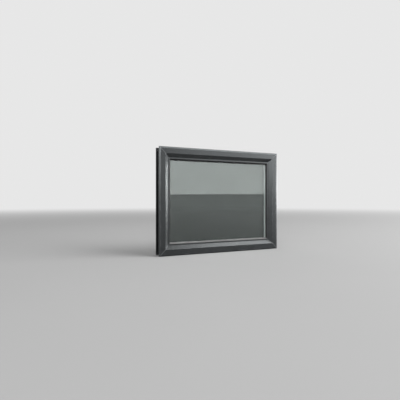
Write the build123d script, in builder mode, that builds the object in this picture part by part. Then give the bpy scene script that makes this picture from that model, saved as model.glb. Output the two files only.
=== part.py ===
"""Fixed shed window with a sealed double pane.

A mitred outer frame and a mitred inner frame clamp a wall panel between their flanges. Plastic strips keep
the two frames apart, and rubber gaskets hold the glass. Millimetres: X runs along the sill, Y into the wall
and Z up. The origin is in the middle of the bottom frame's seat on the wall.

Every section is drawn with x as the distance in from the frame's outside edge, and y as the depth behind
the face of the wall, so one drawing serves all four sides.
"""

import os

from build123d import *

# The window and the wall that it is clamped to
overall_width = 600.0
overall_height = 460.0
wall_thickness = 40.0

# Outer frame: a flange on the wall, a slope and a step down to the lip over the glass, and a box that goes
# through the wall
flange_proud = 6.5
flange_width = 28.0
bevel_width = 6.5
bevel_depth = 2.4
slope_width = 14.5
slope_depth = 12.0
step_depth = 1.5
lip_width = 6.8
frame_wall = 2.0
box_setback = 4.0
seat_width = 9.5
edge_radius = 0.8
nose_radius = 0.5
mitre_gap = 0.2

# Foam strip in a groove behind the flange
seal_rib = 4.5
seal_width = 10.0
seal_thickness = 3.0
seal_clearance = 0.25

# Double pane on two setting blocks, with a hollow bar between the panes
pane_thickness = 4.0
pane_gap = 12.0
glass_clearance = 5.5
spacer_height = 7.0
spacer_setback = 1.5
spacer_corner = 2.0
spacer_wall = 0.8
block_length = 60.0
block_corner_margin = 90.0

# Gaskets on both sides of the glass, each with a foot that snaps into a slot of its frame
gasket_thickness = 4.0
gasket_nose = 5.9
gasket_fall = 0.9
gasket_edge = 0.6
gasket_bulge = 0.7
gasket_setback = 0.5
foot_width = 2.4
foot_height = 1.0
foot_clearance = 0.1

# Pairs of plastic strips between the two frames, sunk a little into the inner one
break_thickness = 7.0
break_recess = 1.0
break_inset = 1.0
strip_width = 3.0

# Inner frame: a flange on the room side, a box for the screws and a bead on the glass
inner_inset = 2.0
inner_proud = 10.0
inner_edge_land = 5.0
inner_slope_width = 12.0
inner_slope_depth = 8.0
inner_rib = 2.0
inner_seat_width = 10.0
bead_width = 7.0
bead_plate = 3.0
bead_nose = 3.0
bead_nose_rise = 0.8
bead_setback = 2.0

# Countersunk screws from the inner frame, between the plastic strips, into the outer frame's box
screw_radius = 2.2
screw_head_radius = 4.4
pilot_radius = 1.7
screw_corner_margin = 75.0
screw_pitch = 150.0

# Depths behind the face of the wall
flange_front = -flange_proud
bevel_back = flange_front + bevel_depth
slope_foot = flange_front + slope_depth
lip_front = slope_foot + step_depth
lip_back = lip_front + frame_wall
outer_pane_front = lip_back + gasket_thickness
spacer_front = outer_pane_front + pane_thickness
inner_pane_front = spacer_front + pane_gap
inner_pane_back = inner_pane_front + pane_thickness
box_back = wall_thickness - break_thickness
break_back = wall_thickness + break_recess
bead_foot = inner_pane_back + gasket_thickness
inner_face = wall_thickness + inner_proud

# Distances in from the frame's outside edge
inner_chamfer = inner_proud - inner_edge_land
groove_end = seal_rib + seal_width
box_outside = groove_end + seat_width
slope_end = flange_width + slope_width
box_inside = slope_end - box_setback
box_width = box_inside - box_outside
lip_end = slope_end + lip_width
sight_line = lip_end + gasket_nose
glass_edge = box_inside + glass_clearance
outer_gasket_start = glass_edge + gasket_setback
outer_foot_line = (outer_gasket_start + lip_end) / 2
spacer_inside = sight_line - spacer_setback
spacer_outside = spacer_inside - spacer_height
bead_end = sight_line - bead_setback
bead_start = bead_end - bead_width
inner_foot_line = (bead_start + bead_end) / 2
inner_slope_start = bead_end - inner_slope_width
inner_box_outside = box_outside - inner_seat_width
screw_line = (box_outside + box_inside) / 2

# Half the width of a gasket's foot, and the slot that takes it
foot_half = foot_width / 2
slot_half = foot_half + foot_clearance
slot_depth = foot_height + foot_clearance

# Heights above the seat of the bottom frame
seat_middle = groove_end + seat_width / 2
bottom_edge = -seat_middle
top_edge = bottom_edge + overall_height
middle_height = (bottom_edge + top_edge) / 2
half_width = overall_width / 2

# Each side has a plane across its middle and its length
bottom_plane = Plane((0, 0, bottom_edge), x_dir=(0, 0, 1), z_dir=(-1, 0, 0))
top_plane = Plane((0, 0, top_edge), x_dir=(0, 0, -1), z_dir=(1, 0, 0))
left_plane = Plane((-half_width, 0, middle_height), x_dir=(1, 0, 0), z_dir=(0, 0, 1))
right_plane = Plane((half_width, 0, middle_height), x_dir=(-1, 0, 0), z_dir=(0, 0, -1))
sides = {
    "bottom": (bottom_plane, overall_width),
    "top": (top_plane, overall_width),
    "left": (left_plane, overall_height),
    "right": (right_plane, overall_height),
}


def mitred_bar(section, plane, length, gap=0.0):
    """One side of a four-sided ring: the section carried along the side and cut on the corner diagonals.

    The gap is the width of the hairline joint that is left between this side and its neighbours.
    """
    with BuildPart() as bar:
        with BuildSketch(plane):
            add(section.sketch)
        extrude(amount=length / 2, both=True)
        for end in (1, -1):
            corner = plane.from_local_coords((0, 0, end * length / 2))
            diagonal = Plane(corner, z_dir=plane.x_dir + plane.z_dir * end)
            split(bisect_by=diagonal.offset(-gap / 2), keep=Keep.BOTTOM)
    return bar.part


def screw_places(plane, length, depth):
    """The planes, looking into the room, on which one side's screws are drilled at a depth.

    The screws stand in even spaces, as near to the screw pitch as the side's length allows.
    """
    reach = length / 2 - screw_corner_margin
    spaces = max(1, round(2 * reach / screw_pitch))
    steps = [reach * (2 * number / spaces - 1) for number in range(spaces + 1)]
    points = [plane.from_local_coords((screw_line, depth, step)) for step in steps]
    return [Plane(point, x_dir=plane.z_dir, z_dir=(0, 1, 0)) for point in points]


def near(section, *corners):
    """The corners of a section that lie at the given points."""
    return ShapeList(section.vertices().sort_by_distance(corner)[0] for corner in corners)


def save(piece, name):
    """Names a finished piece and writes it."""
    piece.part.label = name
    export_step(piece.part, f"parts/{name}.step")


os.makedirs("parts", exist_ok=True)

# Outer frame
slope_rate = slope_depth / slope_width
slope_wall = frame_wall * (1 + slope_rate**2) ** 0.5
chamber_front = flange_front + frame_wall
chamber_back = box_back - frame_wall
chamber_outside = box_outside + frame_wall
chamber_inside = box_inside - frame_wall
chamber_slope_start = flange_width + (frame_wall - slope_wall) / slope_rate
chamber_slope_foot = flange_front + slope_wall + (chamber_inside - flange_width) * slope_rate

with BuildSketch() as outer_section:
    with BuildLine():
        Polyline(
            (0, 0),
            (0, bevel_back),
            (bevel_width, flange_front),
            (flange_width, flange_front),
            (slope_end, slope_foot),
            (slope_end, lip_front),
            (lip_end, lip_front),
            (lip_end, lip_back),
            (outer_foot_line + slot_half, lip_back),
            (outer_foot_line + slot_half, lip_back - slot_depth),
            (outer_foot_line - slot_half, lip_back - slot_depth),
            (outer_foot_line - slot_half, lip_back),
            (box_inside, lip_back),
            (box_inside, box_back),
            (box_outside, box_back),
            (box_outside, 0),
            (groove_end, 0),
            (groove_end, -seal_thickness),
            (seal_rib, -seal_thickness),
            (seal_rib, 0),
            close=True,
        )
    make_face()
    fillet(near(outer_section, (flange_width, flange_front), (slope_end, lip_front)), edge_radius)
    fillet(near(outer_section, (0, bevel_back), (slope_end, slope_foot), (lip_end, lip_front)), nose_radius)
    with BuildLine():
        Polyline(
            (groove_end + frame_wall, chamber_front),
            (chamber_slope_start, chamber_front),
            (chamber_inside, chamber_slope_foot),
            (chamber_inside, chamber_back),
            (chamber_outside, chamber_back),
            (chamber_outside, -frame_wall),
            (groove_end + frame_wall, -frame_wall),
            close=True,
        )
    make_face(mode=Mode.SUBTRACT)

for side, (plane, length) in sides.items():
    with BuildPart() as outer_frame:
        add(mitred_bar(outer_section, plane, length, mitre_gap))
        with Locations(*screw_places(plane, length, box_back)):
            Hole(pilot_radius, depth=frame_wall)
    save(outer_frame, f"outer_frame_{side}")

# Foam strip that seals the flange to the wall
with BuildSketch() as seal_section:
    with BuildLine():
        Polyline(
            (seal_rib + seal_clearance, 0),
            (seal_rib + seal_clearance, -seal_thickness),
            (groove_end - seal_clearance, -seal_thickness),
            (groove_end - seal_clearance, 0),
            close=True,
        )
    make_face()

for side, (plane, length) in sides.items():
    with BuildPart() as wall_seal:
        add(mitred_bar(seal_section, plane, length))
    save(wall_seal, f"wall_seal_{side}")

# Gasket between the outer frame's lip and the glass, with a rounded nose that shows
with BuildSketch() as outer_gasket_section:
    with BuildLine():
        Polyline(
            (lip_end, lip_front + gasket_fall),
            (lip_end, lip_back),
            (outer_foot_line + foot_half, lip_back),
            (outer_foot_line + foot_half, lip_back - foot_height),
            (outer_foot_line - foot_half, lip_back - foot_height),
            (outer_foot_line - foot_half, lip_back),
            (outer_gasket_start, lip_back),
            (outer_gasket_start, outer_pane_front),
            (sight_line, outer_pane_front),
            (sight_line, outer_pane_front - gasket_edge),
        )
        SagittaArc(
            (sight_line, outer_pane_front - gasket_edge),
            (lip_end, lip_front + gasket_fall),
            gasket_bulge,
        )
    make_face()

for side, (plane, length) in sides.items():
    with BuildPart() as outer_gasket:
        add(mitred_bar(outer_gasket_section, plane, length))
    save(outer_gasket, f"outer_gasket_{side}")

# The two panes
glass_width = overall_width - 2 * glass_edge
glass_height = overall_height - 2 * glass_edge
for name, front in (("outer_pane", outer_pane_front), ("inner_pane", inner_pane_front)):
    with BuildPart() as pane:
        with BuildSketch(Plane((0, front, middle_height), x_dir=(1, 0, 0), z_dir=(0, 1, 0))):
            Rectangle(glass_width, glass_height)
        extrude(amount=pane_thickness)
    save(pane, name)

# Hollow bar that keeps the panes apart
with BuildSketch() as spacer_section:
    with BuildLine():
        Polyline(
            (spacer_inside, spacer_front),
            (spacer_inside, inner_pane_front),
            (spacer_outside + spacer_corner, inner_pane_front),
            (spacer_outside, inner_pane_front - spacer_corner),
            (spacer_outside, spacer_front + spacer_corner),
            (spacer_outside + spacer_corner, spacer_front),
            close=True,
        )
    make_face()
    offset(amount=-spacer_wall, mode=Mode.SUBTRACT)

for side, (plane, length) in sides.items():
    with BuildPart() as spacer:
        add(mitred_bar(spacer_section, plane, length))
    save(spacer, f"spacer_{side}")

# Blocks on the bottom frame's box that carry the glass
block_reach = glass_width / 2 - block_corner_margin
block_depth = inner_pane_back - outer_pane_front
block_middle = (outer_pane_front + inner_pane_back) / 2
for side, place in (("left", -block_reach), ("right", block_reach)):
    with BuildPart() as setting_block:
        with BuildSketch(Plane((place, block_middle, bottom_edge + box_inside))):
            Rectangle(block_length, block_depth)
        extrude(amount=glass_clearance)
    save(setting_block, f"setting_block_{side}")

# Gasket between the glass and the inner frame's bead
with BuildSketch() as inner_gasket_section:
    with BuildLine():
        Polyline(
            (bead_end, bead_foot + bead_nose_rise),
            (bead_end, bead_foot),
            (inner_foot_line + foot_half, bead_foot),
            (inner_foot_line + foot_half, bead_foot + foot_height),
            (inner_foot_line - foot_half, bead_foot + foot_height),
            (inner_foot_line - foot_half, bead_foot),
            (bead_start + gasket_setback, bead_foot),
            (bead_start + gasket_setback, inner_pane_back),
            (bead_end + bead_nose, inner_pane_back),
            (bead_end + bead_nose, inner_pane_back + gasket_edge),
        )
        SagittaArc(
            (bead_end + bead_nose, inner_pane_back + gasket_edge),
            (bead_end, bead_foot + bead_nose_rise),
            -gasket_bulge,
        )
    make_face()

for side, (plane, length) in sides.items():
    with BuildPart() as inner_gasket:
        add(mitred_bar(inner_gasket_section, plane, length))
    save(inner_gasket, f"inner_gasket_{side}")

# Two plastic strips on each side that keep the cold outer frame off the inner one
break_depth = break_back - box_back
strip_shift = (box_width - strip_width) / 2 - break_inset
with BuildSketch() as break_section:
    with Locations((screw_line - strip_shift, box_back + break_depth / 2)):
        Rectangle(strip_width, break_depth)
    with Locations((screw_line + strip_shift, box_back + break_depth / 2)):
        Rectangle(strip_width, break_depth)

for side, (plane, length) in sides.items():
    with BuildPart() as thermal_break:
        add(mitred_bar(break_section, plane, length))
    save(thermal_break, f"thermal_break_{side}")

# Inner frame
inner_slope_rate = inner_slope_depth / inner_slope_width
inner_slope_wall = frame_wall * (1 + inner_slope_rate**2) ** 0.5
inner_slope_foot = inner_face - inner_slope_depth
inner_plate = inner_face - frame_wall
inner_chamber_front = break_back + frame_wall
bead_inside = bead_end - frame_wall
bead_inside_top = inner_face - inner_slope_wall - (bead_inside - inner_slope_start) * inner_slope_rate
inner_hollow_start = inner_slope_start + (frame_wall - inner_slope_wall) / inner_slope_rate
chamfer_wall = frame_wall * 2**0.5
rib_inside = inner_inset + inner_rib
rib_inside_top = wall_thickness + inner_edge_land + inner_rib - chamfer_wall
chamfer_inside_end = inner_inset + inner_chamfer - frame_wall + chamfer_wall

with BuildSketch() as inner_section:
    with BuildLine():
        Polyline(
            (inner_inset, wall_thickness),
            (inner_inset, wall_thickness + inner_edge_land),
            (inner_inset + inner_chamfer, inner_face),
            (inner_slope_start, inner_face),
            (bead_end, inner_slope_foot),
            (bead_end, bead_foot),
            (inner_foot_line + slot_half, bead_foot),
            (inner_foot_line + slot_half, bead_foot + slot_depth),
            (inner_foot_line - slot_half, bead_foot + slot_depth),
            (inner_foot_line - slot_half, bead_foot),
            (bead_start, bead_foot),
            (bead_start, bead_foot + bead_plate),
            (bead_inside, bead_foot + bead_plate),
            (bead_inside, bead_inside_top),
            (inner_hollow_start, inner_plate),
            (box_inside, inner_plate),
            (box_inside, break_back),
            (box_outside, break_back),
            (box_outside, wall_thickness),
            (inner_box_outside, wall_thickness),
            (inner_box_outside, inner_plate),
            (chamfer_inside_end, inner_plate),
            (rib_inside, rib_inside_top),
            (rib_inside, wall_thickness),
            close=True,
        )
    make_face()
    fillet(near(inner_section, (inner_inset, wall_thickness + inner_edge_land)), edge_radius)
    fillet(near(inner_section, (inner_inset + inner_chamfer, inner_face)), edge_radius)
    fillet(near(inner_section, (inner_slope_start, inner_face), (bead_end, inner_slope_foot)), edge_radius)
    with BuildLine():
        Polyline(
            (inner_box_outside + frame_wall, inner_chamber_front),
            (inner_box_outside + frame_wall, inner_plate),
            (box_inside - frame_wall, inner_plate),
            (box_inside - frame_wall, inner_chamber_front),
            close=True,
        )
    make_face(mode=Mode.SUBTRACT)

for side, (plane, length) in sides.items():
    with BuildPart() as inner_frame:
        add(mitred_bar(inner_section, plane, length, mitre_gap))
        with Locations(*screw_places(plane, length, inner_face)):
            CounterSinkHole(screw_radius, screw_head_radius, depth=inner_face - break_back)
    save(inner_frame, f"inner_frame_{side}")
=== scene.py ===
"""Shed window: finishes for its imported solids, the screws of its inner frame and a studio.

Lengths are metres in the part's own frame: X runs along the sill, Y towards the room and Z up. The
outside faces -Y. Patterns are worked out from Object coordinates, so they stay on the piece.
"""

import math

import bpy
import numpy as np
from bpy.props import FloatProperty, FloatVectorProperty, IntProperty, PointerProperty
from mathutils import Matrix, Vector


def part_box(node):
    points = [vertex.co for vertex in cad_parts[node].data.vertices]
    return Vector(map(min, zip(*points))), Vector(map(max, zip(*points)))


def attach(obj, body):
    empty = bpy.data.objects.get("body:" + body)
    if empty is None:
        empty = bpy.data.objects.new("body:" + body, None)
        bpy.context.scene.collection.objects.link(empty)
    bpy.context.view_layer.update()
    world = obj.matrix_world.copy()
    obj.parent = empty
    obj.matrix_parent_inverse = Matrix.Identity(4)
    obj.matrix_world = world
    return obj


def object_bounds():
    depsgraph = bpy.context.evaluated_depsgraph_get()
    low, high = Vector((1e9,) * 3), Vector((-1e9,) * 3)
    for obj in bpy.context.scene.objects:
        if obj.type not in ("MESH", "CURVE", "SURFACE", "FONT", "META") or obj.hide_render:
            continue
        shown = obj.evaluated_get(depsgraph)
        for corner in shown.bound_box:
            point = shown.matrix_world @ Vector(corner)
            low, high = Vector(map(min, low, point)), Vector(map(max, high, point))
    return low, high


bl_info = {
    "name": "Shed Window",
    "version": (1, 0, 0),
    "blender": (4, 5, 0),
    "location": "View3D > Sidebar > Shed Window",
    "description": "Dresses a fixed shed window with paint, rubber, glass, screws and a studio",
    "category": "Object",
}

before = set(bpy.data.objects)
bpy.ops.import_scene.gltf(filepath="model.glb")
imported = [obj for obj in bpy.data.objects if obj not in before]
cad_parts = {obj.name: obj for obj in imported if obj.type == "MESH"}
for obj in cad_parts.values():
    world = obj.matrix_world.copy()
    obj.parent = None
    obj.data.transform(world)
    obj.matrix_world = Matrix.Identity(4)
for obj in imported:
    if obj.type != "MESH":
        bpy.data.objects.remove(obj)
CAD_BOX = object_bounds()

SIDES = ("bottom", "top", "left", "right")
MM = 0.001

# The outside edges of the window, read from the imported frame
LOW, HIGH = CAD_BOX
HALF_WIDTH = (HIGH.x - LOW.x) / 2
HALF_HEIGHT = (HIGH.z - LOW.z) / 2
MIDDLE_HEIGHT = (HIGH.z + LOW.z) / 2
ROOM_FACE = HIGH.y
SPACER_MIDDLE = sum(corner.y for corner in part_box("spacer_bottom")) / 2

# Distances in from the outside edge: the arrises of the two frames, and the foot of the outer slope
OUTER_ARRISES = (6.5 * MM, 28.0 * MM, 49.3 * MM)
INNER_ARRISES = (7.0 * MM, 41.2 * MM, 53.2 * MM)
SLOPE_FOOT = 42.5 * MM

# Width of the camera's sensor in millimetres, and the colour of plain white light
SENSOR_WIDTH = 36.0
WHITE = (1.0, 1.0, 1.0, 1.0)


class PaintSettings(bpy.types.PropertyGroup):
    """Satin metallic paint of the outer and inner frames"""

    colour: FloatVectorProperty(
        name="Colour",
        description="Colour of the paint between its flakes",
        subtype="COLOR",
        size=3,
        min=0.0,
        max=1.0,
        default=(0.0075, 0.0077, 0.0082),
    )
    flake_colour: FloatVectorProperty(
        name="Flake colour",
        description="Colour of the brightest flakes in the paint",
        subtype="COLOR",
        size=3,
        min=0.0,
        max=1.0,
        default=(0.026, 0.027, 0.029),
    )
    # The worn colour also paints the highlight line along each mitre
    worn_and_highlight_colour: FloatVectorProperty(
        name="Worn colour",
        description="Colour of the rubbed arrises and mitres",
        subtype="COLOR",
        size=3,
        min=0.0,
        max=1.0,
        default=(0.22, 0.23, 0.24),
    )
    dust_colour: FloatVectorProperty(
        name="Dust colour",
        description="Colour of the fine dust on faces that look up",
        subtype="COLOR",
        size=3,
        min=0.0,
        max=1.0,
        default=(0.20, 0.195, 0.18),
    )
    metallic: FloatProperty(
        name="Metallic",
        description="Share of metal in the paint's shine",
        subtype="FACTOR",
        min=0.0,
        max=1.0,
        default=0.20,
    )
    roughness: FloatProperty(
        name="Roughness",
        description="Mean roughness of the satin paint",
        subtype="FACTOR",
        min=0.0,
        max=1.0,
        default=0.25,
    )


class GlassSettings(bpy.types.PropertyGroup):
    """Clear outer pane and tinted inner pane"""

    outer_tint: FloatVectorProperty(
        name="Outer tint",
        description="What the outer pane lets through",
        subtype="COLOR",
        size=3,
        min=0.0,
        max=1.0,
        default=(0.86, 0.90, 0.88),
    )
    inner_tint: FloatVectorProperty(
        name="Inner tint",
        description="What the dark inner pane lets through",
        subtype="COLOR",
        size=3,
        min=0.0,
        max=1.0,
        default=(0.062, 0.068, 0.067),
    )
    refraction: FloatProperty(
        name="Refraction",
        description="Refractive index of the panes",
        min=1.0,
        max=2.5,
        default=1.49,
    )


class SoftSettings(bpy.types.PropertyGroup):
    """Rubber gaskets, foam seal and plastic strips"""

    rubber_colour: FloatVectorProperty(
        name="Rubber colour",
        description="Colour of the gaskets",
        subtype="COLOR",
        size=3,
        min=0.0,
        max=1.0,
        default=(0.004, 0.004, 0.0045),
    )
    foam_colour: FloatVectorProperty(
        name="Foam colour",
        description="Colour of the foam strip behind the flange",
        subtype="COLOR",
        size=3,
        min=0.0,
        max=1.0,
        default=(0.028, 0.028, 0.029),
    )
    plastic_colour: FloatVectorProperty(
        name="Plastic colour",
        description="Colour of the strips between the frames and of the setting blocks",
        subtype="COLOR",
        size=3,
        min=0.0,
        max=1.0,
        default=(0.020, 0.020, 0.021),
    )


class MetalSettings(bpy.types.PropertyGroup):
    """Spacer bar and screws"""

    spacer_colour: FloatVectorProperty(
        name="Spacer colour",
        description="Colour of the bar between the panes",
        subtype="COLOR",
        size=3,
        min=0.0,
        max=1.0,
        default=(0.60, 0.61, 0.62),
    )
    hole_pitch: FloatProperty(
        name="Hole pitch",
        description="Distance between the breathing holes of the spacer",
        unit="LENGTH",
        min=0.5 * MM,
        default=3.0 * MM,
    )
    screw_colour: FloatVectorProperty(
        name="Screw colour",
        description="Colour of the screws",
        subtype="COLOR",
        size=3,
        min=0.0,
        max=1.0,
        default=(0.52, 0.52, 0.51),
    )


class ScrewSettings(bpy.types.PropertyGroup):
    """Countersunk screws that pull the two frames together"""

    line: FloatProperty(
        name="Screw line",
        description="Distance of the screws in from the window's outside edge",
        unit="LENGTH",
        min=0.0,
        default=31.25 * MM,
    )
    corner_margin: FloatProperty(
        name="Corner margin",
        description="Distance of the last screw from the end of its side",
        unit="LENGTH",
        min=0.0,
        default=75.0 * MM,
    )
    count_across: IntProperty(
        name="Count across", description="Screws on the top and on the bottom", min=2, default=4
    )
    count_up: IntProperty(name="Count up", description="Screws on each upright", min=2, default=3)
    head_radius: FloatProperty(
        name="Head radius",
        description="Radius of a screw's head",
        unit="LENGTH",
        min=0.0,
        default=4.2 * MM,
    )
    shank_radius: FloatProperty(
        name="Shank radius",
        description="Radius of a screw's shank",
        unit="LENGTH",
        min=0.0,
        default=1.65 * MM,
    )
    length: FloatProperty(
        name="Length",
        description="Length of a screw from the top of its head to its tip",
        unit="LENGTH",
        min=0.0,
        default=25.0 * MM,
    )
    recess_radius: FloatProperty(
        name="Recess radius",
        description="Mean radius of the six-lobed recess in a screw's head",
        unit="LENGTH",
        min=0.0,
        default=2.0 * MM,
    )


class StudioSettings(bpy.types.PropertyGroup):
    """Camera, floor and lamps"""

    camera_place: FloatVectorProperty(
        name="Camera place",
        description="Where the camera stands",
        subtype="XYZ",
        unit="LENGTH",
        size=3,
        default=(-0.7858, -1.4255, 0.2207),
    )
    camera_turn: FloatProperty(
        name="Camera turn",
        description="How far the level camera is turned from straight in, towards the right",
        subtype="ANGLE",
        default=math.radians(25.35),
    )
    lens: FloatProperty(
        name="Lens",
        description="Focal length on a sensor 36 mm wide",
        unit="CAMERA",
        min=1.0,
        default=32.45,
    )
    shift: FloatProperty(
        name="Shift",
        description="How far the lens is moved up, as a share of the sensor's width",
        default=-0.0025,
    )
    floor_colour: FloatVectorProperty(
        name="Floor colour",
        description="Colour of the plain floor",
        subtype="COLOR",
        size=3,
        min=0.0,
        max=1.0,
        default=(0.43, 0.43, 0.43),
    )
    fade_start: FloatProperty(
        name="Fade start",
        description="Distance from the window at which the floor starts to fade",
        unit="LENGTH",
        min=0.0,
        default=2.0,
    )
    fade_end: FloatProperty(
        name="Fade end",
        description="Distance from the window at which only the background is left",
        unit="LENGTH",
        min=0.0,
        default=9.0,
    )
    background: FloatProperty(
        name="Background",
        description="Brightness of the background that is seen, mirrored and looked through",
        min=0.0,
        max=1.0,
        default=0.80,
    )
    fill: FloatProperty(
        name="Fill",
        description="Even light from all round",
        min=0.0,
        default=0.45,
    )


class ShedWindowSettings(bpy.types.PropertyGroup):
    """All the settings of the shed window"""

    paint: PointerProperty(type=PaintSettings)
    glass: PointerProperty(type=GlassSettings)
    soft: PointerProperty(type=SoftSettings)
    metal: PointerProperty(type=MetalSettings)
    screw: PointerProperty(type=ScrewSettings)
    studio: PointerProperty(type=StudioSettings)


class Finish:
    """A new material with one shader, and short calls for the nodes that its patterns use."""

    def __init__(self, name):
        self.material = bpy.data.materials.new(name)
        self.material.use_nodes = True
        self.tree = self.material.node_tree
        self.tree.nodes.clear()
        self.output = self.add("ShaderNodeOutputMaterial")
        self.shader = self.add("ShaderNodeBsdfPrincipled")
        self.join(self.output.inputs["Surface"], self.shader.outputs["BSDF"])
        self.place = self.add("ShaderNodeTexCoord").outputs["Object"]

    def add(self, kind, **options):
        """Adds a node and sets its options."""
        node = self.tree.nodes.new(kind)
        for option, value in options.items():
            setattr(node, option, value)
        return node

    def join(self, socket, source):
        """Links a socket to another node's output, or sets it to a plain value."""
        if isinstance(source, bpy.types.NodeSocket):
            self.tree.links.new(source, socket)
        else:
            socket.default_value = source

    def set(self, **values):
        """Sets or links the shader's sockets, whose names are written with _ for a space."""
        for name, value in values.items():
            self.join(self.shader.inputs[name.replace("_", " ")], value)

    def mix_in(self, share, other):
        """Lets another shader take the place of the finish's own, by a share from 0 to 1."""
        node = self.add("ShaderNodeMixShader")
        self.join(node.inputs["Fac"], share)
        self.join(node.inputs[1], self.shader.outputs["BSDF"])
        self.join(node.inputs[2], other)
        self.join(self.output.inputs["Surface"], node.outputs["Shader"])

    def maths(self, operation, first, second=0.0):
        """The result of an operation on one or two values."""
        node = self.add("ShaderNodeMath", operation=operation)
        for socket, source in zip(node.inputs, (first, second)):
            self.join(socket, source)
        return node.outputs["Value"]

    def apart(self, first, second):
        """How far two values are apart."""
        return self.maths("ABSOLUTE", self.maths("SUBTRACT", first, second))

    def parts(self, vector):
        """The x, y and z of a vector."""
        node = self.add("ShaderNodeSeparateXYZ")
        self.join(node.inputs["Vector"], vector)
        return node.outputs["X"], node.outputs["Y"], node.outputs["Z"]

    def stretched(self, x, y, z):
        """The place on the piece with each axis multiplied, for a drawn-out pattern."""
        node = self.add("ShaderNodeMapping")
        self.join(node.inputs["Vector"], self.place)
        self.join(node.inputs["Scale"], (x, y, z))
        return node.outputs["Vector"]

    def noise(self, scale, detail, place=None):
        """A cloudy pattern from 0 to 1, with so many clouds to a metre."""
        node = self.add("ShaderNodeTexNoise")
        self.join(node.inputs["Vector"], place or self.place)
        self.join(node.inputs["Scale"], scale)
        self.join(node.inputs["Detail"], detail)
        return node.outputs["Fac"]

    def cells(self, scale, output="Distance"):
        """Round cells, so many to a metre: the distance from a cell's middle, or its colour."""
        node = self.add("ShaderNodeTexVoronoi")
        self.join(node.inputs["Vector"], self.place)
        self.join(node.inputs["Scale"], scale)
        return node.outputs[output]

    def fade(self, value, start, end, low=0.0, high=1.0):
        """Goes smoothly from low to high as a value goes from start to end, and stays there."""
        node = self.add("ShaderNodeMapRange", interpolation_type="SMOOTHSTEP")
        sources = (value, start, end, low, high)
        for name, source in zip(("Value", "From Min", "From Max", "To Min", "To Max"), sources):
            self.join(node.inputs[name], source)
        return node.outputs["Result"]

    def blend(self, share, first, second):
        """The first colour where the share is 0 and the second where it is 1."""
        node = self.add("ShaderNodeMix", data_type="RGBA")
        self.join(node.inputs["Factor"], share)
        # Sockets 6 and 7 take the two colours of this node, and socket 2 gives their blend
        for socket, source in zip((node.inputs[6], node.inputs[7]), (first, second)):
            linked = isinstance(source, bpy.types.NodeSocket)
            self.join(socket, source if linked else (*source, 1.0))
        return node.outputs[2]

    def bump(self, height, depth, strength, over=None):
        """A normal tilted by a height pattern, so many metres deep, over another such normal."""
        node = self.add("ShaderNodeBump")
        self.join(node.inputs["Height"], height)
        self.join(node.inputs["Distance"], depth)
        self.join(node.inputs["Strength"], strength)
        if over is not None:
            self.join(node.inputs["Normal"], over)
        return node.outputs["Normal"]

    def insets(self):
        """How far a place lies in from the nearer upright edge and from the nearer level edge."""
        x, _, z = self.parts(self.place)
        from_upright = self.maths("SUBTRACT", HALF_WIDTH, self.maths("ABSOLUTE", x))
        from_level = self.maths("SUBTRACT", HALF_HEIGHT, self.apart(z, MIDDLE_HEIGHT))
        return from_upright, from_level

    def facing_up(self, start, end):
        """How much a face looks up: from 0 to 1 as its normal's height goes from start to end."""
        node = self.add("ShaderNodeNewGeometry")
        return self.fade(self.parts(node.outputs["Normal"])[2], start, end)


def give(finish, *names):
    """Puts a finish in the material slots of CAD nodes, with their meshes left as they are."""
    for name in names:
        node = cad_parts[name]
        if not node.material_slots:
            raise RuntimeError(f"{name} has no material slot")
        for slot in node.material_slots:
            slot.link = "OBJECT"
            slot.material = finish.material


def ring(name):
    """The four nodes of a ring, one on each side."""
    return [f"{name}_{side}" for side in SIDES]


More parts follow.
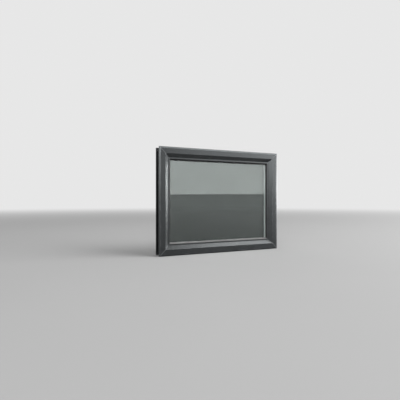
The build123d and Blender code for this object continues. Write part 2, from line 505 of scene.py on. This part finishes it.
def paint_finish(name, arrises, look):
    """Dark satin paint: fine flakes, a slight orange peel, worn arrises, painted mitre highlights,
    dust.

    An arris is a line at a fixed distance in from the outside edge, worn in patches by a noise.
    A mitre is where the distances from the upright edge and from the level edge are the same. A
    pale line along it is a painted highlight. Dust lies on what faces up, thickest at the foot of
    the outer slope.
    """
    flake_contrast, flake_roughness = 3.0, 0.05
    arris_wear = 0.35
    dust_roughness = 0.5
    sheen_change = 0.015
    finish = Finish(name)
    from_upright, from_level = finish.insets()
    inset = finish.maths("MINIMUM", from_upright, from_level)

    flakes = finish.parts(finish.cells(scale=2600.0, output="Color"))[0]
    clouds = finish.noise(scale=7.0, detail=3.0)
    cloudy = finish.fade(clouds, start=0.2, end=0.8, low=0.6, high=1.0)
    sparkle = finish.maths("MULTIPLY", finish.maths("POWER", flakes, flake_contrast), cloudy)
    colour = finish.blend(sparkle, look.colour, look.flake_colour)

    patches = finish.fade(finish.noise(scale=55.0, detail=4.0), start=0.40, end=0.70)
    rubbed_and_highlit = 0.0
    for arris in arrises:
        off_arris = finish.apart(inset, arris)
        on_arris = finish.fade(off_arris, start=0.2 * MM, end=0.9 * MM, low=1.0, high=0.0)
        rubbed_and_highlit = finish.maths("MAXIMUM", rubbed_and_highlit, on_arris)
    rubbed_and_highlit = finish.maths("MULTIPLY", rubbed_and_highlit, finish.maths("MULTIPLY", patches, arris_wear))
    # Painted highlight: an even pale line along each mitre, in the worn colour
    off_mitre = finish.apart(from_upright, from_level)
    mitre_highlight = finish.fade(off_mitre, start=0.3 * MM, end=1.1 * MM, low=0.8, high=0.0)
    rubbed_and_highlit = finish.maths("MAXIMUM", rubbed_and_highlit, mitre_highlight)
    colour = finish.blend(rubbed_and_highlit, colour, look.worn_and_highlight_colour)

    off_foot = finish.apart(inset, SLOPE_FOOT)
    settled = finish.fade(off_foot, start=0.0, end=4.0 * MM, low=0.20, high=0.06)
    drifts = finish.fade(finish.noise(scale=160.0, detail=5.0), start=0.30, end=0.75)
    dust = finish.maths("MULTIPLY", finish.facing_up(start=0.1, end=0.9), settled)
    dust = finish.maths("MULTIPLY", dust, drifts)
    colour = finish.blend(dust, colour, look.dust_colour)

    peel = finish.noise(scale=430.0, detail=2.0)
    grain = finish.bump(flakes, depth=0.02 * MM, strength=0.25)
    normal = finish.bump(peel, depth=0.10 * MM, strength=0.15, over=grain)
    smoothest, roughest = look.roughness - sheen_change, look.roughness + sheen_change
    roughness = finish.fade(clouds, start=0.2, end=0.8, low=smoothest, high=roughest)
    for pattern, share in ((flakes, flake_roughness), (dust, dust_roughness)):
        roughness = finish.maths("ADD", roughness, finish.maths("MULTIPLY", pattern, share))
    finish.set(Base_Color=colour, Roughness=roughness, Normal=normal, Metallic=look.metallic)
    finish.set(IOR=1.55, Specular_Tint=(0.91, 0.98, 1.0, 1.0))
    finish.set(Coat_Weight=0.10, Coat_Roughness=0.22)
    return finish


def rubber_finish(look):
    """Black rubber: a fine pitted skin, drawn lines along the gasket, and pale blooming and sheen.

    The lines are a sine of the distance in from the outside edge. What faces up is paler: partly
    blooming and dust, partly a painted sheen for the light that it mirrors.
    """
    line_pitch = 1.1 * MM
    unshaded_skin_colour = (0.012, 0.012, 0.0125)
    bloom_and_sheen_colour = (0.15, 0.15, 0.148)
    finish = Finish("gasket_rubber")
    from_upright, from_level = finish.insets()
    inset = finish.maths("MINIMUM", from_upright, from_level)
    drawn = finish.maths("SINE", finish.maths("MULTIPLY", inset, 2.0 * math.pi / line_pitch))
    pits = finish.noise(scale=1500.0, detail=3.0)
    smears = finish.noise(scale=40.0, detail=3.0)
    smeared = finish.fade(smears, start=0.25, end=0.75, low=0.60, high=0.95)
    # Paler where it faces up: partly blooming and dust, partly a painted sheen for the light it
    # mirrors
    bloom_and_sheen = finish.maths("MULTIPLY", finish.facing_up(start=0.05, end=0.40), smeared)
    # Painted shade: the pits keep the darker gasket colour and the skin around them is paler
    unshaded_skin = finish.fade(pits, start=0.3, end=0.7)
    colour = finish.blend(unshaded_skin, look.rubber_colour, unshaded_skin_colour)
    colour = finish.blend(bloom_and_sheen, colour, bloom_and_sheen_colour)
    normal = finish.bump(drawn, depth=0.03 * MM, strength=0.35)
    normal = finish.bump(pits, depth=0.05 * MM, strength=0.35, over=normal)
    roughness = finish.fade(smears, start=0.25, end=0.75, low=0.34, high=0.48)
    finish.set(Base_Color=colour, Roughness=roughness, Normal=normal, IOR=1.30)
    return finish


def foam_finish(look):
    """Matt closed-cell foam: round 1 mm cells, each a shallow pit with painted shade and a paler
    rim.
    """
    pit_shade_colour = (0.008, 0.008, 0.008)
    fleck_colour = (0.06, 0.06, 0.06)
    finish = Finish("seal_foam")
    cells = finish.cells(scale=900.0)
    fine = finish.noise(scale=2600.0, detail=2.0)
    rims_out_of_shade = finish.fade(cells, start=0.1, end=0.7)
    flecks = finish.fade(fine, start=0.5, end=0.8, low=0.0, high=0.5)
    # Painted shade: each cell darkens towards the middle of its pit
    colour = finish.blend(rims_out_of_shade, pit_shade_colour, look.foam_colour)
    colour = finish.blend(flecks, colour, fleck_colour)
    normal = finish.bump(cells, depth=0.40 * MM, strength=0.8)
    roughness = finish.fade(fine, start=0.2, end=0.8, low=0.85, high=0.98)
    finish.set(Base_Color=colour, Roughness=roughness, Normal=normal)
    return finish


def plastic_finish(look):
    """Black filled plastic with streaks drawn along the strip and a fine matt skin.

    The streaks are a noise that changes fast across the strip and slowly along it.
    """
    crowding = 60.0
    streak_colour = (0.042, 0.042, 0.043)
    finish = Finish("break_plastic")
    from_upright, from_level = finish.insets()
    inset = finish.maths("MINIMUM", from_upright, from_level)
    depth = finish.parts(finish.place)[1]
    streak_place = finish.add("ShaderNodeCombineXYZ")
    finish.join(streak_place.inputs["X"], finish.maths("MULTIPLY", inset, crowding))
    finish.join(streak_place.inputs["Y"], finish.maths("MULTIPLY", depth, crowding))
    finish.join(streak_place.inputs["Z"], finish.maths("ADD", from_upright, from_level))
    streaks = finish.noise(scale=20.0, detail=3.0, place=streak_place.outputs["Vector"])
    skin = finish.noise(scale=1800.0, detail=2.0)
    streaked = finish.fade(streaks, start=0.35, end=0.7)
    colour = finish.blend(streaked, look.plastic_colour, streak_colour)
    normal = finish.bump(skin, depth=0.04 * MM, strength=0.4)
    roughness = finish.fade(streaks, start=0.3, end=0.7, low=0.50, high=0.66)
    finish.set(Base_Color=colour, Roughness=roughness, Normal=normal)
    return finish


def glass_finish(name, tint, refraction):
    """Float glass with the slow waves of its rollers and a faintly streaked tint.

    Shadow rays pass straight through the tint, so that light gets in between the panes.
    """
    wave_scale, streak_scale = (3.0, 3.0, 9.0), (9.0, 9.0, 34.0)
    streak_share = 0.94
    finish = Finish(name)
    waves = finish.noise(scale=1.0, detail=1.0, place=finish.stretched(*wave_scale))
    streaks = finish.noise(scale=1.0, detail=4.0, place=finish.stretched(*streak_scale))
    darker = tuple(streak_share * part for part in tint)
    colour = finish.blend(finish.fade(streaks, start=0.3, end=0.7), tint, darker)
    normal = finish.bump(waves, depth=0.05 * MM, strength=0.03)
    finish.set(Base_Color=colour, Normal=normal, Roughness=0.0, IOR=refraction)
    finish.set(Transmission_Weight=1.0, Specular_Tint=(0.95, 1.0, 0.985, 1.0))
    path = finish.add("ShaderNodeLightPath")
    clear = finish.add("ShaderNodeBsdfTransparent")
    finish.join(clear.inputs["Color"], colour)
    finish.mix_in(path.outputs["Is Shadow Ray"], clear.outputs["BSDF"])
    return finish


def spacer_finish(look):
    """Satin rolled aluminium with two rows of tiny breathing holes between the panes.

    A hole is where the place along the bar, folded into one pitch, and the place across it are
    both near the middle of a dot, and it is painted dark as its shade. The bar runs along X on the
    top and bottom, and along Z on the uprights.
    """
    row_offset = 2.2 * MM
    line_scale = (25.0, 2400.0, 25.0)
    line_colour = (0.36, 0.37, 0.38)
    hole_shade_colour = (0.015, 0.015, 0.015)
    finish = Finish("spacer_metal")
    x, y, z = finish.parts(finish.place)
    from_upright, from_level = finish.insets()
    upright = finish.maths("LESS_THAN", from_upright, from_level)
    level = finish.maths("SUBTRACT", 1.0, upright)
    along_upright = finish.maths("MULTIPLY", upright, z)
    along_level = finish.maths("MULTIPLY", level, x)
    along = finish.maths("ADD", along_upright, along_level)
    folded = finish.maths("PINGPONG", along, look.hole_pitch / 2)
    off_row = finish.apart(finish.apart(y, SPACER_MIDDLE), row_offset)
    squares = [finish.maths("POWER", part, 2.0) for part in (folded, off_row)]
    off_hole = finish.maths("SQRT", finish.maths("ADD", *squares))
    hole = finish.fade(off_hole, start=0.30 * MM, end=0.50 * MM, low=1.0, high=0.0)
    lines = finish.noise(scale=1.0, detail=2.0, place=finish.stretched(*line_scale))
    lined = finish.fade(lines, start=0.3, end=0.7, low=0.0, high=0.5)
    colour = finish.blend(lined, look.spacer_colour, line_colour)
    # Painted shade: each hole is painted dark, as the shade inside it
    colour = finish.blend(hole, colour, hole_shade_colour)
    solid = finish.maths("SUBTRACT", 1.0, hole)
    normal = finish.bump(lines, depth=0.03 * MM, strength=0.3)
    normal = finish.bump(solid, depth=0.30 * MM, strength=0.6, over=normal)
    roughness = finish.fade(lines, start=0.3, end=0.7, low=0.46, high=0.62)
    finish.set(Base_Color=colour, Roughness=roughness, Normal=normal, Metallic=0.25)
    return finish


def screw_finish(look):
    """Zinc-plated steel, dulled in patches by a noise and marked with small darker spots."""
    dull_colour = (0.33, 0.33, 0.32)
    spot_colour = (0.24, 0.225, 0.20)
    spot_share = 0.4
    finish = Finish("screw_steel")
    dull = finish.noise(scale=900.0, detail=4.0)
    spots = finish.fade(finish.noise(scale=260.0, detail=3.0), start=0.45, end=0.75)
    colour = finish.blend(finish.fade(dull, start=0.3, end=0.75), look.screw_colour, dull_colour)
    colour = finish.blend(finish.maths("MULTIPLY", spots, spot_share), colour, spot_colour)
    normal = finish.bump(dull, depth=0.03 * MM, strength=0.3)
    roughness = finish.fade(dull, start=0.3, end=0.7, low=0.26, high=0.44)
    finish.set(Base_Color=colour, Roughness=roughness, Normal=normal, Metallic=0.95)
    return finish


def screw_places(size):
    """The middles of the screw heads on the room face: even steps between each side's margins."""
    reach_across = HALF_WIDTH - size.corner_margin
    reach_up = HALF_HEIGHT - size.corner_margin
    across = np.linspace(-reach_across, reach_across, size.count_across)
    up = np.linspace(-reach_up, reach_up, size.count_up)
    x_line = HALF_WIDTH - size.line
    z_line = HALF_HEIGHT - size.line
    x = np.concatenate([across, across, np.full_like(up, -x_line), np.full_like(up, x_line)])
    z = np.concatenate([np.full_like(across, -z_line), np.full_like(across, z_line), up, up])
    return np.stack([x, np.full_like(x, ROOM_FACE), z + MIDDLE_HEIGHT], axis=1)


def screw_mesh(size, steps=48):
    """All the screws, one closed surface each: a ring of radius r at depth d for each profile row.

    The profile starts near the tip, goes up the shank, out under the countersunk head, over its rim
    and down into the recess. There the radius is r times (1 + lobe * cos 6a), which gives the six
    lobes. Each screw is turned by its own golden-angle step, so that no two recesses line up.
    """
    head, shank, recess = size.head_radius, size.shank_radius, size.recess_radius
    lobes = 6.0
    golden_angle = math.pi * (3.0 - math.sqrt(5.0))
    half_countersink = math.radians(41.0)
    cone = (head - shank) / math.tan(half_countersink)
    sink, band, rim = 0.15 * MM, 0.5 * MM, 0.25 * MM
    # The radius, depth and lobe of each ring
    profile = np.array(
        [
            (0.25 * shank, size.length - 0.3 * shank, 0.0),
            (shank, size.length - 2.4 * shank, 0.0),
            (shank, sink + band + cone, 0.0),
            (head, sink + band, 0.0),
            (head, sink + rim, 0.0),
            (head - rim, sink, 0.0),
            (recess + rim, sink, 0.12),
            (recess, sink + 0.20 * MM, 0.16),
            (0.92 * recess, sink + 1.70 * MM, 0.16),
            (0.60 * recess, sink + 1.95 * MM, 0.08),
        ]
    )
    recess_depth = sink + 2.05 * MM
    radius, depth, lobe = (column[None, :, None] for column in profile.T)
    places = screw_places(size)
    turn = np.arange(len(places)) * golden_angle
    angle = np.linspace(0.0, 2.0 * math.pi, steps, endpoint=False)[None, None, :]
    reach = radius * (1.0 + lobe * np.cos(lobes * angle))
    spin = angle + turn[:, None, None]
    rings = np.stack(
        [
            places[:, 0, None, None] + reach * np.cos(spin),
            places[:, 1, None, None] - depth + 0.0 * spin,
            places[:, 2, None, None] + reach * np.sin(spin),
        ],
        axis=-1,
    )
    tips = places - (0.0, size.length, 0.0)
    recess_floors = places - (0.0, recess_depth, 0.0)
    return closed_surfaces("frame_screws", rings, tips, recess_floors)


def closed_surfaces(name, rings, first_poles, last_poles):
    """One mesh of several like surfaces, each a stack of rings with a fan over both its ends.

    The rings have the shape (surfaces, rings, steps, 3). Ring k and ring k + 1 are joined by
    four-cornered faces between steps s and s + 1, with the last step joined to the first. A fan
    joins two neighbouring steps of an end ring to the pole there, one point for each surface.
    """
    surfaces, stack, steps, _ = rings.shape
    here = np.arange(surfaces * stack * steps).reshape(surfaces, stack, steps)
    after = np.roll(here, -1, axis=2)
    sides = np.stack([here[:, :-1], here[:, 1:], after[:, 1:], after[:, :-1]], axis=-1)
    first = np.repeat(here.size + np.arange(surfaces), steps).reshape(surfaces, steps)
    last = first + surfaces
    first_fan = np.stack([first, here[:, 0], after[:, 0]], axis=-1)
    last_fan = np.stack([last, after[:, -1], here[:, -1]], axis=-1)
    patches = (sides, first_fan, last_fan)
    corners = np.concatenate([rings.reshape(-1, 3), first_poles, last_poles])
    faces = [patch.reshape(-1, patch.shape[-1]).tolist() for patch in patches]
    mesh = bpy.data.meshes.new(name)
    mesh.from_pydata(corners.tolist(), [], sum(faces, []))
    piece = bpy.data.objects.new(name, mesh)
    bpy.context.scene.collection.objects.link(piece)
    return piece


class SHEDWINDOW_OT_paint_frames(bpy.types.Operator):
    """Paint the outer and inner frames in dark satin metallic paint"""

    bl_idname = "shed_window.paint_frames"
    bl_label = "Paint frames"

    def execute(self, context):
        look = context.scene.shed_window.paint
        give(paint_finish("outer_frame_paint", OUTER_ARRISES, look), *ring("outer_frame"))
        give(paint_finish("inner_frame_paint", INNER_ARRISES, look), *ring("inner_frame"))
        return {"FINISHED"}


class SHEDWINDOW_OT_finish_gaskets(bpy.types.Operator):
    """Give the gaskets on both sides of the glass their rubber"""

    bl_idname = "shed_window.finish_gaskets"
    bl_label = "Finish gaskets"

    def execute(self, context):
        rubber = rubber_finish(context.scene.shed_window.soft)
        give(rubber, *ring("outer_gasket"), *ring("inner_gasket"))
        return {"FINISHED"}


class SHEDWINDOW_OT_finish_seals(bpy.types.Operator):
    """Give the strips behind the flange their foam"""

    bl_idname = "shed_window.finish_seals"
    bl_label = "Finish seals"

    def execute(self, context):
        give(foam_finish(context.scene.shed_window.soft), *ring("wall_seal"))
        return {"FINISHED"}


class SHEDWINDOW_OT_finish_breaks(bpy.types.Operator):
    """Give the strips between the frames and the setting blocks their black plastic"""

    bl_idname = "shed_window.finish_breaks"
    bl_label = "Finish plastic strips"

    def execute(self, context):
        blocks = ("setting_block_left", "setting_block_right")
        give(plastic_finish(context.scene.shed_window.soft), *ring("thermal_break"), *blocks)
        return {"FINISHED"}


class SHEDWINDOW_OT_glaze(bpy.types.Operator):
    """Make the outer pane clear and the inner pane dark"""

    bl_idname = "shed_window.glaze"
    bl_label = "Glaze"

    def execute(self, context):
        look = context.scene.shed_window.glass
        give(glass_finish("outer_glass", look.outer_tint, look.refraction), "outer_pane")
        give(glass_finish("inner_glass", look.inner_tint, look.refraction), "inner_pane")
        return {"FINISHED"}


class SHEDWINDOW_OT_finish_spacers(bpy.types.Operator):
    """Give the bars between the panes their perforated aluminium"""

    bl_idname = "shed_window.finish_spacers"
    bl_label = "Finish spacers"

    def execute(self, context):
        give(spacer_finish(context.scene.shed_window.metal), *ring("spacer"))
        return {"FINISHED"}


class SHEDWINDOW_OT_drive_screws(bpy.types.Operator):
    """Drive a countersunk screw into each hole of the inner frame"""

    bl_idname = "shed_window.drive_screws"
    bl_label = "Drive screws"

    def execute(self, context):
        settings = context.scene.shed_window
        screws = screw_mesh(settings.screw)
        screws.data.materials.append(screw_finish(settings.metal).material)
        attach(screws, "root")
        return {"FINISHED"}


class SHEDWINDOW_OT_set_stage(bpy.types.Operator):
    """Set up the floor, the lamps, the background and the camera"""

    bl_idname = "shed_window.set_stage"
    bl_label = "Set stage"

    def execute(self, context):
        look = context.scene.shed_window.studio
        lay_floor(look)
        hang_lamps()
        light_world(look)
        place_camera(look)
        context.scene.view_settings.view_transform = "Standard"
        return {"FINISHED"}


def lay_floor(look):
    """A level square of plain pale floor under the window's lowest edge.

    Away from the window it fades into the background, for rays that see, mirror or look through.
    """
    reach = 40.0
    mottle_share = 1.03
    corner = np.array([(-1, -1), (1, -1), (1, 1), (-1, 1)], float) * reach
    level = np.full((4, 1), LOW.z)
    mesh = bpy.data.meshes.new("floor")
    mesh.from_pydata(np.hstack([corner, level]).tolist(), [], [(0, 1, 2, 3)])
    floor = bpy.data.objects.new("floor", mesh)
    bpy.context.scene.collection.objects.link(floor)
    finish = Finish("floor_paint")
    mottle = finish.noise(scale=3.0, detail=4.0)
    paler = tuple(min(1.0, mottle_share * part) for part in look.floor_colour)
    colour = finish.blend(mottle, look.floor_colour, paler)
    finish.set(Base_Color=colour, Roughness=0.9, Specular_IOR_Level=0.1)
    length = finish.add("ShaderNodeVectorMath", operation="LENGTH")
    finish.join(length.inputs[0], finish.place)
    faded = finish.fade(length.outputs["Value"], look.fade_start, look.fade_end)
    path = finish.add("ShaderNodeLightPath")
    watched = path.outputs["Is Camera Ray"]
    for kind in ("Is Glossy Ray", "Is Transmission Ray"):
        watched = finish.maths("MAXIMUM", watched, path.outputs[kind])
    glow = finish.add("ShaderNodeEmission")
    finish.join(glow.inputs["Strength"], look.background)
    finish.mix_in(finish.maths("MULTIPLY", watched, faded), glow.outputs["Emission"])
    mesh.materials.append(finish.material)


def hang_lamps():
    """Large soft lamps: two in front of the window, and one at its right, overhead and at its left.

    A lamp hangs at an azimuth to the right of straight in front and at an elevation, both seen from
    the window's middle, looks at the window, and is then raised. Its power is pi times its area
    times its brightness.
    """
    middle = Vector((0.0, 0.0, MIDDLE_HEIGHT))
    # Name, azimuth and elevation in degrees, distance, width and height, rise, brightness
    lamps = (
        ("front_softbox", 39.5, 0.0, 8.0, (6.0, 4.8), 2.54, 2.1),
        ("front_right_softbox", 60.0, 0.0, 9.0, (7.2, 3.6), 1.95, 3.2),
        ("side_softbox", 97.0, 0.0, 12.0, (8.7, 1.4), 0.50, 15.0),
        ("overhead_softbox", 52.0, 45.0, 6.0, (4.6, 3.2), 0.0, 5.2),
        ("left_softbox", -32.0, 0.0, 11.0, (8.2, 4.1), 3.05, 6.8),
    )
    for name, azimuth, elevation, distance, (width, height), rise, brightness in lamps:
        turn, tilt = math.radians(azimuth), math.radians(elevation)
        level = math.cos(tilt)
        away = Vector((math.sin(turn) * level, -math.cos(turn) * level, math.sin(tilt)))
        lamp = bpy.data.lights.new(name, "AREA")
        lamp.shape = "RECTANGLE"
        lamp.size = width
        lamp.size_y = height
        lamp.energy = math.pi * width * height * brightness
        hung = bpy.data.objects.new(name, lamp)
        hung.location = middle + distance * away + Vector((0.0, 0.0, rise))
        hung.rotation_euler = (-away).to_track_quat("-Z", "Y").to_euler()
        hung.visible_camera = False
        bpy.context.scene.collection.objects.link(hung)


def light_world(look):
    """An even fill for the object, and a pale background to be seen, mirrored or looked through."""
    world = bpy.data.worlds.new("studio")
    bpy.context.scene.world = world
    world.use_nodes = True
    tree = world.node_tree
    tree.nodes.clear()
    fill = tree.nodes.new("ShaderNodeBackground")
    fill.inputs["Strength"].default_value = look.fill
    seen = tree.nodes.new("ShaderNodeBackground")
    seen.inputs["Strength"].default_value = look.background
    for node in (fill, seen):
        node.inputs["Color"].default_value = WHITE
    path = tree.nodes.new("ShaderNodeLightPath")
    share = path.outputs["Is Camera Ray"]
    for kind in ("Is Glossy Ray", "Is Transmission Ray"):
        either = tree.nodes.new("ShaderNodeMath")
        either.operation = "MAXIMUM"
        tree.links.new(share, either.inputs[0])
        tree.links.new(path.outputs[kind], either.inputs[1])
        share = either.outputs["Value"]
    mix = tree.nodes.new("ShaderNodeMixShader")
    tree.links.new(share, mix.inputs["Fac"])
    tree.links.new(fill.outputs["Background"], mix.inputs[1])
    tree.links.new(seen.outputs["Background"], mix.inputs[2])
    output = tree.nodes.new("ShaderNodeOutputWorld")
    tree.links.new(mix.outputs["Shader"], output.inputs["Surface"])


def place_camera(look):
    """A level camera to the left of the window, turned towards it."""
    lens = bpy.data.cameras.new("camera")
    lens.lens = look.lens
    lens.sensor_width = SENSOR_WIDTH
    lens.shift_y = look.shift
    camera = bpy.data.objects.new("camera", lens)
    camera.location = look.camera_place
    camera.rotation_euler = (math.pi / 2, 0.0, -look.camera_turn)
    bpy.context.scene.collection.objects.link(camera)
    bpy.context.scene.camera = camera


OPERATORS = (
    SHEDWINDOW_OT_paint_frames,
    SHEDWINDOW_OT_finish_gaskets,
    SHEDWINDOW_OT_finish_seals,
    SHEDWINDOW_OT_finish_breaks,
    SHEDWINDOW_OT_glaze,
    SHEDWINDOW_OT_finish_spacers,
    SHEDWINDOW_OT_drive_screws,
    SHEDWINDOW_OT_set_stage,
)


class SHEDWINDOW_PT_sidebar(bpy.types.Panel):
    """The steps that dress the window, in order"""

    bl_idname = "SHEDWINDOW_PT_sidebar"
    bl_label = "Shed Window"
    bl_space_type = "VIEW_3D"
    bl_region_type = "UI"
    bl_category = "Shed Window"

    def draw(self, context):
        for operator in OPERATORS:
            self.layout.operator(operator.bl_idname)


GROUPS = (
    PaintSettings,
    GlassSettings,
    SoftSettings,
    MetalSettings,
    ScrewSettings,
    StudioSettings,
    ShedWindowSettings,
)
CLASSES = (*GROUPS, *OPERATORS, SHEDWINDOW_PT_sidebar)


def register():
    for each in CLASSES:
        bpy.utils.register_class(each)
    bpy.types.Scene.shed_window = PointerProperty(type=ShedWindowSettings)


def unregister():
    del bpy.types.Scene.shed_window
    for each in reversed(CLASSES):
        bpy.utils.unregister_class(each)


def main():
    """Dress the window step by step."""
    register()
    bpy.ops.shed_window.paint_frames()
    bpy.ops.shed_window.finish_gaskets()
    bpy.ops.shed_window.finish_seals()
    bpy.ops.shed_window.finish_breaks()
    bpy.ops.shed_window.glaze()
    bpy.ops.shed_window.finish_spacers()
    bpy.ops.shed_window.drive_screws()
    bpy.ops.shed_window.set_stage()


if __name__ == "__main__":
    main()
